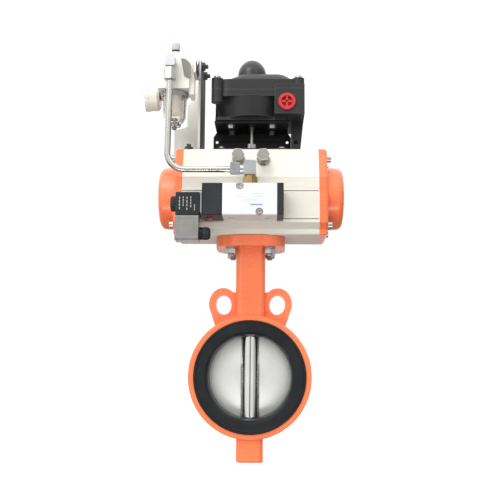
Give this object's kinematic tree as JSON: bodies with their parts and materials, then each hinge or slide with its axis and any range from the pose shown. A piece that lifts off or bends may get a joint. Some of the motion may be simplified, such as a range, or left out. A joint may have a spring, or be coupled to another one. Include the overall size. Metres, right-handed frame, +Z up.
{
  "type": "pneumatic actuated valve",
  "caption": "Wafer butterfly valve with a rack-and-pinion air actuator, solenoid valve, position switch box, filter-regulator and steel air line.",
  "frame": {"origin": "centre of the closed disc, where the pipe axis meets the stem axis", "axes": "+Z up the stem to the actuator, +Y along the pipe away from the solenoid valve side, +X along the actuator away from the filter-regulator"},
  "size_m": [0.2652, 0.155, 0.542],
  "materials": {
    "orange_coat": "powder coat, satin",
    "epdm_rubber": "moulded EPDM, satin",
    "nitrile_rubber": "moulded",
    "stainless_polished": "polished stainless steel",
    "stainless_turned": "plain stainless",
    "stainless_tube": "drawn stainless tube",
    "stainless_sheet": "rolled stainless sheet",
    "nickel_steel": "nickel plated",
    "ptfe_white": "filled PTFE",
    "anodised_aluminium": "bead blasted, hard anodised",
    "cast_aluminium": "die cast",
    "white_anodised": "white anodised",
    "black_plastic": "moulded",
    "smoked_plastic": "smoked translucent",
    "red_plastic": "moulded",
    "brass": "turned",
    "zinc_plate": "zinc plated",
    "cream_plastic": "moulded",
    "grey_plastic": "moulded",
    "grey_knob": "moulded",
    "clear_bowl": "clear polycarbonate",
    "gauge_glass": "clear",
    "black_coat": "black powder coat",
    "dark_grey_case": "textured coat",
    "smoked_dome": "smoked polycarbonate"
  },
  "bodies": {
    "housing": {"actuator_body": "anodised_aluminium", "air_tube": "stainless_tube", "armature_tube": "nickel_steel", "bowl_collar": "grey_plastic", "bracket_screws": "stainless_turned", "brass_fittings": "brass", "coil": "black_plastic", "coil_connector": "smoked_plastic", "coil_nut": "black_plastic", "conduit_plug": "red_plastic", "connector_gland": "black_plastic", "cover_screws": "stainless_turned", "end_cap_left": "orange_coat", "end_cap_right": "orange_coat", "end_cap_screws": "stainless_turned", "filter_bowl": "clear_bowl", "filter_element": "ptfe_white", "flange_nuts": "stainless_turned", "flange_studs": "stainless_turned", "gauge_body": "cream_plastic", "gauge_lens": "gauge_glass", "indicator_dome": "smoked_dome", "micro_switches": "black_plastic", "o_rings": "nitrile_rubber", "pilot_block": "black_plastic", "pinion_bearings": "ptfe_white", "regulator_body": "cream_plastic", "regulator_bolts": "stainless_turned", "regulator_bracket": "stainless_sheet", "regulator_side_panel": "grey_plastic", "seat_liner": "epdm_rubber", "solenoid_body": "white_anodised", "solenoid_screws": "stainless_turned", "stem_bushings": "ptfe_white", "stop_nuts": "stainless_turned", "stop_screws": "stainless_turned", "switch_box_base": "dark_grey_case", "switch_box_cover": "dark_grey_case", "switch_bracket": "black_coat", "tube_elbows": "zinc_plate", "tube_nuts": "zinc_plate", "valve_body": "orange_coat", "valve_end_cover": "black_plastic"},
    "drive_train": {"disc": "stainless_polished", "stem": "stainless_turned", "pinion": "nickel_steel", "stop_cam": "nickel_steel", "switch_shaft": "nickel_steel", "switch_cams": "red_plastic", "indicator_rotor": "black_plastic"},
    "piston_left": {"piston_left": "cast_aluminium", "piston_left_guides": "ptfe_white"},
    "piston_right": {"piston_right": "cast_aluminium", "piston_right_guides": "ptfe_white"},
    "override_button": {"override_button": "red_plastic"},
    "valve_spool": {"valve_spool": "cast_aluminium"},
    "armature": {"armature": "nickel_steel"},
    "gauge_pointer": {"gauge_pointer": "red_plastic"},
    "regulator_knob": {"regulator_knob": "grey_knob"},
    "drain_valve": {"drain_valve": "grey_plastic"}
  },
  "joints": [
    {"name": "valve_turn", "type": "hinge", "parent": "housing", "child": "drive_train", "pos_m": [0, 0, 0], "axis": [0, 0, 1], "range_deg": [0, 90]},
    {"name": "piston_left_slide", "type": "slide", "parent": "housing", "child": "piston_left", "axis": [-1, 0, 0], "range_m": [0, 0.0252]},
    {"name": "piston_right_slide", "type": "slide", "parent": "housing", "child": "piston_right", "axis": [1, 0, 0], "range_m": [0, 0.0252]},
    {"name": "override_press", "type": "slide", "parent": "housing", "child": "override_button", "axis": [0, 0, 1], "range_m": [0, 0.0015], "stiffness_N_per_m": 600, "springref_m": -0.001},
    {"name": "spool_shift", "type": "slide", "parent": "housing", "child": "valve_spool", "axis": [1, 0, 0], "range_m": [0, 0.004], "stiffness_N_per_m": 500, "springref_m": -0.002},
    {"name": "armature_pull", "type": "slide", "parent": "housing", "child": "armature", "axis": [-1, 0, 0], "range_m": [0, 0.0015], "stiffness_N_per_m": 500, "springref_m": -0.002},
    {"name": "gauge_sweep", "type": "hinge", "parent": "housing", "child": "gauge_pointer", "pos_m": [-0.1385, -0.024, 0.37], "axis": [-1, 0, 0], "range_deg": [-270, 0], "stiffness_Nm_per_rad": 0.0005},
    {"name": "pressure_adjust", "type": "hinge", "parent": "housing", "child": "regulator_knob", "pos_m": [-0.1, -0.043, 0.43], "axis": [0, 0, 1], "range_deg": [0, 1080]},
    {"name": "drain_press", "type": "slide", "parent": "housing", "child": "drain_valve", "axis": [0, 0, 1], "range_m": [0, 0.002], "stiffness_N_per_m": 400, "springref_m": -0.001}
  ],
  "couplings": [
    {"joint": "piston_left_slide", "follows": "valve_turn", "m_per_rad": 0.016},
    {"joint": "piston_right_slide", "follows": "valve_turn", "m_per_rad": 0.016}
  ]
}
